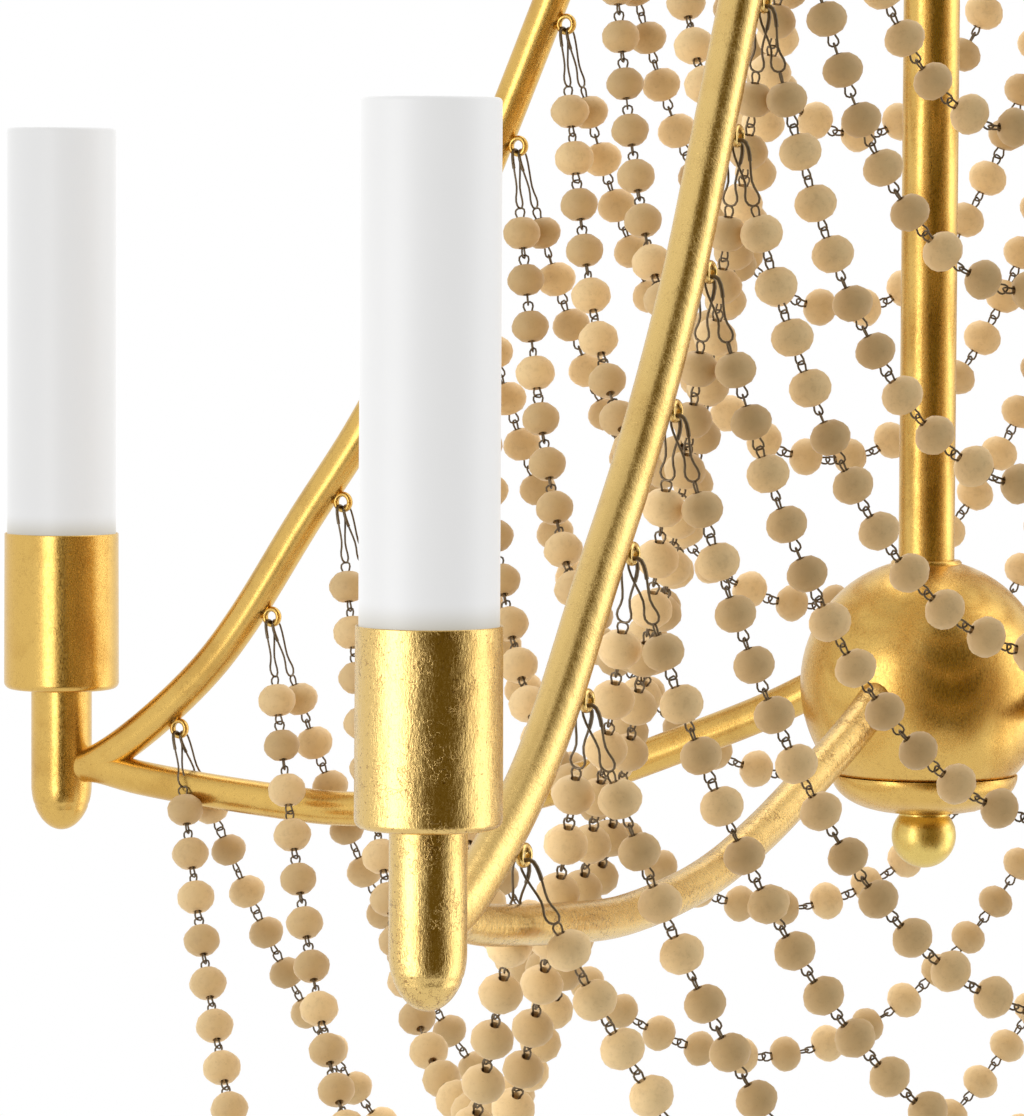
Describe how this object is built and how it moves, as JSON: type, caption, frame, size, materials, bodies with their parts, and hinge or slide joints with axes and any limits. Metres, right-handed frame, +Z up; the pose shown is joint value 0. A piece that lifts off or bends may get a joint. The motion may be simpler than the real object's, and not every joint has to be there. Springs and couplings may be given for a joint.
{
  "type": "beaded chandelier",
  "caption": "Gold tube-frame chandelier with tiers of wooden bead swags hung from eyelets, lamps with tall opal glass tubes and a central ball.",
  "frame": {"origin": "on the ceiling, at the centre of the mounting bracket's top face", "axes": "+Z up out of the ceiling face, -Y towards the front arm, -X towards the left arm, so the lamps lie on the X and Y axes"},
  "size_m": [0.857, 0.857, 0.9129],
  "materials": {
    "gold_leaf": "satin gold leaf over steel",
    "bright_gold": "polished gold leaf",
    "wood": "raw matte wood on blackened wire links",
    "opal_glass": "satin opal glass",
    "bulb_glass": "frosted glass",
    "porcelain": "glazed, pale",
    "steel": "zinc plated"
  },
  "bodies": {
    "ceiling_mount": {"mounting_bracket": "steel", "canopy": "gold_leaf", "canopy_loop": "gold_leaf"},
    "link": {"hanging_link": "gold_leaf"},
    "fixture": {"top_loop": "gold_leaf", "top_hub": "gold_leaf", "centre_rod": "gold_leaf", "ball_shell": "gold_leaf", "ball_cap": "gold_leaf", "finial": "bright_gold", "right_arm": "gold_leaf", "right_cup": "gold_leaf", "right_socket": "porcelain", "back_arm": "gold_leaf", "back_cup": "gold_leaf", "back_socket": "porcelain", "left_arm": "gold_leaf", "left_cup": "gold_leaf", "left_socket": "porcelain", "front_arm": "gold_leaf", "front_cup": "gold_leaf", "front_socket": "porcelain", "garland_8": "wood", "garland_9": "wood"},
    "right_glass": {"right_glass_tube": "opal_glass"},
    "right_lamp": {"right_bulb": "bulb_glass"},
    "back_glass": {"back_glass_tube": "opal_glass"},
    "back_lamp": {"back_bulb": "bulb_glass"},
    "left_glass": {"left_glass_tube": "opal_glass"},
    "left_lamp": {"left_bulb": "bulb_glass"},
    "front_glass": {"front_glass_tube": "opal_glass"},
    "front_lamp": {"front_bulb": "bulb_glass"},
    "swag_back_right_1": {"strand_back_right_1": "wood"},
    "swag_back_right_2": {"strand_back_right_2": "wood"},
    "swag_back_right_3": {"strand_back_right_3": "wood"},
    "swag_back_right_4": {"strand_back_right_4": "wood"},
    "swag_back_right_5": {"strand_back_right_5": "wood"},
    "swag_back_right_6": {"strand_back_right_6": "wood"},
    "swag_back_right_7": {"strand_back_right_7": "wood"},
    "swag_back_left_1": {"strand_back_left_1": "wood"},
    "swag_back_left_2": {"strand_back_left_2": "wood"},
    "swag_back_left_3": {"strand_back_left_3": "wood"},
    "swag_back_left_4": {"strand_back_left_4": "wood"},
    "swag_back_left_5": {"strand_back_left_5": "wood"},
    "swag_back_left_6": {"strand_back_left_6": "wood"},
    "swag_back_left_7": {"strand_back_left_7": "wood"},
    "swag_front_left_1": {"strand_front_left_1": "wood"},
    "swag_front_left_2": {"strand_front_left_2": "wood"},
    "swag_front_left_3": {"strand_front_left_3": "wood"},
    "swag_front_left_4": {"strand_front_left_4": "wood"},
    "swag_front_left_5": {"strand_front_left_5": "wood"},
    "swag_front_left_6": {"strand_front_left_6": "wood"},
    "swag_front_left_7": {"strand_front_left_7": "wood"},
    "swag_front_right_1": {"strand_front_right_1": "wood"},
    "swag_front_right_2": {"strand_front_right_2": "wood"},
    "swag_front_right_3": {"strand_front_right_3": "wood"},
    "swag_front_right_4": {"strand_front_right_4": "wood"},
    "swag_front_right_5": {"strand_front_right_5": "wood"},
    "swag_front_right_6": {"strand_front_right_6": "wood"},
    "swag_front_right_7": {"strand_front_right_7": "wood"}
  },
  "joints": [
    {"name": "link_swing", "type": "hinge", "parent": "ceiling_mount", "child": "link", "pos_m": [0, 0, -0.0648], "axis": [1, 0, 0], "range_deg": [-15, 15]},
    {"name": "fixture_swing", "type": "hinge", "parent": "link", "child": "fixture", "pos_m": [0, 0, -0.1018], "axis": [0, 1, 0], "range_deg": [-15, 15]},
    {"name": "right_glass_lift", "type": "slide", "parent": "fixture", "child": "right_glass", "axis": [0, 0, 1], "range_m": [0, 0.24]},
    {"name": "right_bulb_unscrew", "type": "slide", "parent": "fixture", "child": "right_lamp", "axis": [0, 0, 1], "range_m": [0, 0.022]},
    {"name": "back_glass_lift", "type": "slide", "parent": "fixture", "child": "back_glass", "axis": [0, 0, 1], "range_m": [0, 0.24]},
    {"name": "back_bulb_unscrew", "type": "slide", "parent": "fixture", "child": "back_lamp", "axis": [0, 0, 1], "range_m": [0, 0.022]},
    {"name": "left_glass_lift", "type": "slide", "parent": "fixture", "child": "left_glass", "axis": [0, 0, 1], "range_m": [0, 0.24]},
    {"name": "left_bulb_unscrew", "type": "slide", "parent": "fixture", "child": "left_lamp", "axis": [0, 0, 1], "range_m": [0, 0.022]},
    {"name": "front_glass_lift", "type": "slide", "parent": "fixture", "child": "front_glass", "axis": [0, 0, 1], "range_m": [0, 0.24]},
    {"name": "front_bulb_unscrew", "type": "slide", "parent": "fixture", "child": "front_lamp", "axis": [0, 0, 1], "range_m": [0, 0.022]},
    {"name": "swag_back_right_1_swing", "type": "hinge", "parent": "fixture", "child": "swag_back_right_1", "pos_m": [0.34466, 0.003, -0.63689], "axis": [0.7071, -0.7071, 0], "range_deg": [0, 20]},
    {"name": "swag_back_right_2_swing", "type": "hinge", "parent": "fixture", "child": "swag_back_right_2", "pos_m": [0.2992, 0.003, -0.58769], "axis": [0.7071, -0.7071, 0], "range_deg": [-7, 20]},
    {"name": "swag_back_right_3_swing", "type": "hinge", "parent": "fixture", "child": "swag_back_right_3", "pos_m": [0.265, 0.003, -0.53849], "axis": [0.7071, -0.7071, 0], "range_deg": [-8, 20]},
    {"name": "swag_back_right_4_swing", "type": "hinge", "parent": "fixture", "child": "swag_back_right_4", "pos_m": [0.23201, 0.003, -0.48929], "axis": [0.7071, -0.7071, 0], "range_deg": [-6, 20]},
    {"name": "swag_back_right_5_swing", "type": "hinge", "parent": "fixture", "child": "swag_back_right_5", "pos_m": [0.20508, 0.003, -0.44009], "axis": [0.7071, -0.7071, 0], "range_deg": [-5, 20]},
    {"name": "swag_back_right_6_swing", "type": "hinge", "parent": "fixture", "child": "swag_back_right_6", "pos_m": [0.1831, 0.003, -0.39089], "axis": [0.7071, -0.7071, 0], "range_deg": [-4, 20]},
    {"name": "swag_back_right_7_swing", "type": "hinge", "parent": "fixture", "child": "swag_back_right_7", "pos_m": [0.16139, 0.003, -0.34169], "axis": [0.7071, -0.7071, 0], "range_deg": [-3, 20]},
    {"name": "swag_back_left_1_swing", "type": "hinge", "parent": "fixture", "child": "swag_back_left_1", "pos_m": [-0.003, 0.34466, -0.63689], "axis": [0.7071, 0.7071, 0], "range_deg": [0, 20]},
    {"name": "swag_back_left_2_swing", "type": "hinge", "parent": "fixture", "child": "swag_back_left_2", "pos_m": [-0.003, 0.2992, -0.58769], "axis": [0.7071, 0.7071, 0], "range_deg": [-7, 20]},
    {"name": "swag_back_left_3_swing", "type": "hinge", "parent": "fixture", "child": "swag_back_left_3", "pos_m": [-0.003, 0.265, -0.53849], "axis": [0.7071, 0.7071, 0], "range_deg": [-8, 20]},
    {"name": "swag_back_left_4_swing", "type": "hinge", "parent": "fixture", "child": "swag_back_left_4", "pos_m": [-0.003, 0.23201, -0.48929], "axis": [0.7071, 0.7071, 0], "range_deg": [-6, 20]},
    {"name": "swag_back_left_5_swing", "type": "hinge", "parent": "fixture", "child": "swag_back_left_5", "pos_m": [-0.003, 0.20508, -0.44009], "axis": [0.7071, 0.7071, 0], "range_deg": [-5, 20]},
    {"name": "swag_back_left_6_swing", "type": "hinge", "parent": "fixture", "child": "swag_back_left_6", "pos_m": [-0.003, 0.1831, -0.39089], "axis": [0.7071, 0.7071, 0], "range_deg": [-4, 20]},
    {"name": "swag_back_left_7_swing", "type": "hinge", "parent": "fixture", "child": "swag_back_left_7", "pos_m": [-0.003, 0.16139, -0.34169], "axis": [0.7071, 0.7071, 0], "range_deg": [-3, 20]},
    {"name": "swag_front_left_1_swing", "type": "hinge", "parent": "fixture", "child": "swag_front_left_1", "pos_m": [-0.34466, -0.003, -0.63689], "axis": [-0.7071, 0.7071, 0], "range_deg": [0, 20]},
    {"name": "swag_front_left_2_swing", "type": "hinge", "parent": "fixture", "child": "swag_front_left_2", "pos_m": [-0.2992, -0.003, -0.58769], "axis": [-0.7071, 0.7071, 0], "range_deg": [-7, 20]},
    {"name": "swag_front_left_3_swing", "type": "hinge", "parent": "fixture", "child": "swag_front_left_3", "pos_m": [-0.265, -0.003, -0.53849], "axis": [-0.7071, 0.7071, 0], "range_deg": [-8, 20]},
    {"name": "swag_front_left_4_swing", "type": "hinge", "parent": "fixture", "child": "swag_front_left_4", "pos_m": [-0.23201, -0.003, -0.48929], "axis": [-0.7071, 0.7071, 0], "range_deg": [-6, 20]},
    {"name": "swag_front_left_5_swing", "type": "hinge", "parent": "fixture", "child": "swag_front_left_5", "pos_m": [-0.20508, -0.003, -0.44009], "axis": [-0.7071, 0.7071, 0], "range_deg": [-5, 20]},
    {"name": "swag_front_left_6_swing", "type": "hinge", "parent": "fixture", "child": "swag_front_left_6", "pos_m": [-0.1831, -0.003, -0.39089], "axis": [-0.7071, 0.7071, 0], "range_deg": [-4, 20]},
    {"name": "swag_front_left_7_swing", "type": "hinge", "parent": "fixture", "child": "swag_front_left_7", "pos_m": [-0.16139, -0.003, -0.34169], "axis": [-0.7071, 0.7071, 0], "range_deg": [-3, 20]},
    {"name": "swag_front_right_1_swing", "type": "hinge", "parent": "fixture", "child": "swag_front_right_1", "pos_m": [0.003, -0.34466, -0.63689], "axis": [-0.7071, -0.7071, 0], "range_deg": [0, 20]},
    {"name": "swag_front_right_2_swing", "type": "hinge", "parent": "fixture", "child": "swag_front_right_2", "pos_m": [0.003, -0.2992, -0.58769], "axis": [-0.7071, -0.7071, 0], "range_deg": [-7, 20]},
    {"name": "swag_front_right_3_swing", "type": "hinge", "parent": "fixture", "child": "swag_front_right_3", "pos_m": [0.003, -0.265, -0.53849], "axis": [-0.7071, -0.7071, 0], "range_deg": [-8, 20]},
    {"name": "swag_front_right_4_swing", "type": "hinge", "parent": "fixture", "child": "swag_front_right_4", "pos_m": [0.003, -0.23201, -0.48929], "axis": [-0.7071, -0.7071, 0], "range_deg": [-6, 20]},
    {"name": "swag_front_right_5_swing", "type": "hinge", "parent": "fixture", "child": "swag_front_right_5", "pos_m": [0.003, -0.20508, -0.44009], "axis": [-0.7071, -0.7071, 0], "range_deg": [-5, 20]},
    {"name": "swag_front_right_6_swing", "type": "hinge", "parent": "fixture", "child": "swag_front_right_6", "pos_m": [0.003, -0.1831, -0.39089], "axis": [-0.7071, -0.7071, 0], "range_deg": [-4, 20]},
    {"name": "swag_front_right_7_swing", "type": "hinge", "parent": "fixture", "child": "swag_front_right_7", "pos_m": [0.003, -0.16139, -0.34169], "axis": [-0.7071, -0.7071, 0], "range_deg": [-3, 20]}
  ]
}
